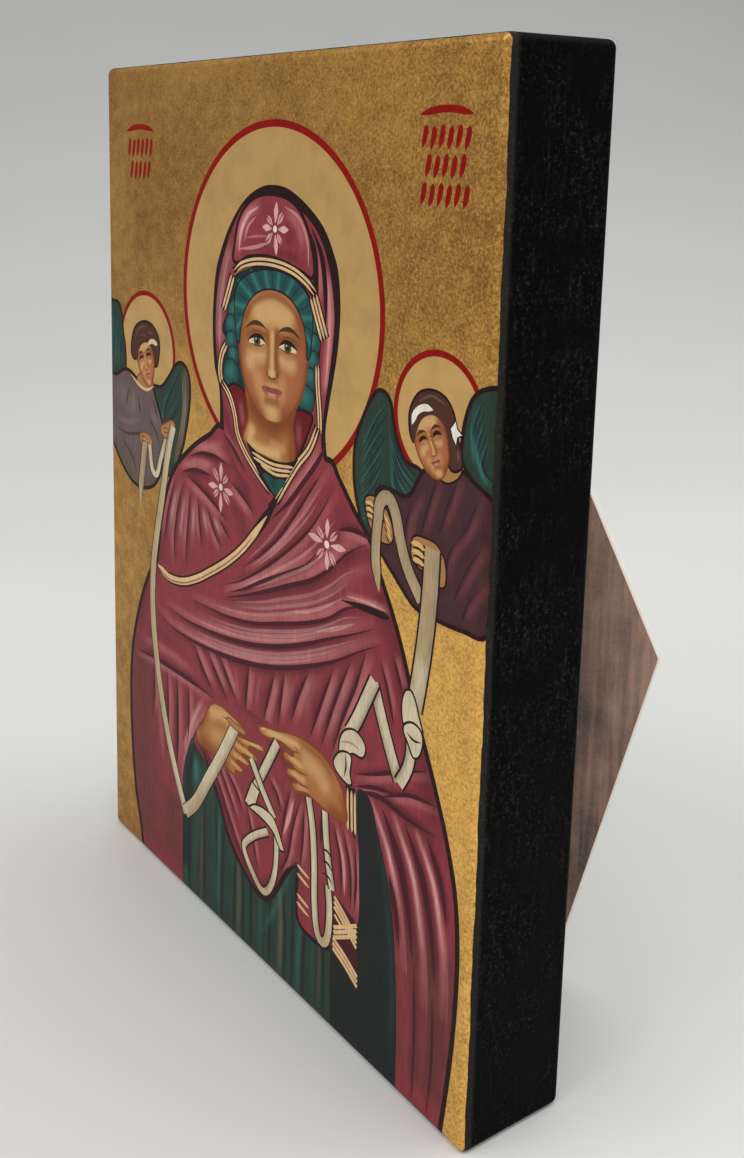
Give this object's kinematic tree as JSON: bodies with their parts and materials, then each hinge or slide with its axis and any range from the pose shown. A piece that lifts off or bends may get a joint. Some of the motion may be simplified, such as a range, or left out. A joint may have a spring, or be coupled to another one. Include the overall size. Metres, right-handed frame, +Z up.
{
  "type": "icon panel",
  "caption": "Upright rectangular icon panel, painted and gilded in front, black round the sides, with a thin strut wing hinged on its back.",
  "frame": {"origin": "middle of the board's flat underside, on the surface that it stands on", "axes": "+Z up the panel, -Y out of the painted front, +X to the viewer's right when the front is seen"},
  "size_m": [0.141, 0.0632, 0.2],
  "materials": {
    "painted_board": "black paint with a satin sheen; the front carries gold leaf and varnished tempera",
    "stained_strut": "thin board stained reddish brown, its cut edges left pale",
    "hinge_brass": "aged brass"
  },
  "bodies": {
    "board": {"panel_board": "painted_board", "lower_hinge_board_leaf": "hinge_brass", "lower_hinge_pin": "hinge_brass", "lower_hinge_lower_screw": "hinge_brass", "lower_hinge_upper_screw": "hinge_brass", "upper_hinge_board_leaf": "hinge_brass", "upper_hinge_pin": "hinge_brass", "upper_hinge_lower_screw": "hinge_brass", "upper_hinge_upper_screw": "hinge_brass"},
    "wing": {"strut_wing": "stained_strut", "lower_hinge_wing_leaf": "hinge_brass", "lower_hinge_lower_rivet": "hinge_brass", "lower_hinge_upper_rivet": "hinge_brass", "upper_hinge_wing_leaf": "hinge_brass", "upper_hinge_lower_rivet": "hinge_brass", "upper_hinge_upper_rivet": "hinge_brass"}
  },
  "joints": [
    {"name": "strut_fold", "type": "hinge", "parent": "board", "child": "wing", "pos_m": [0, 0.0146, 0], "axis": [0, 0, 1], "range_deg": [-32, 58]}
  ]
}
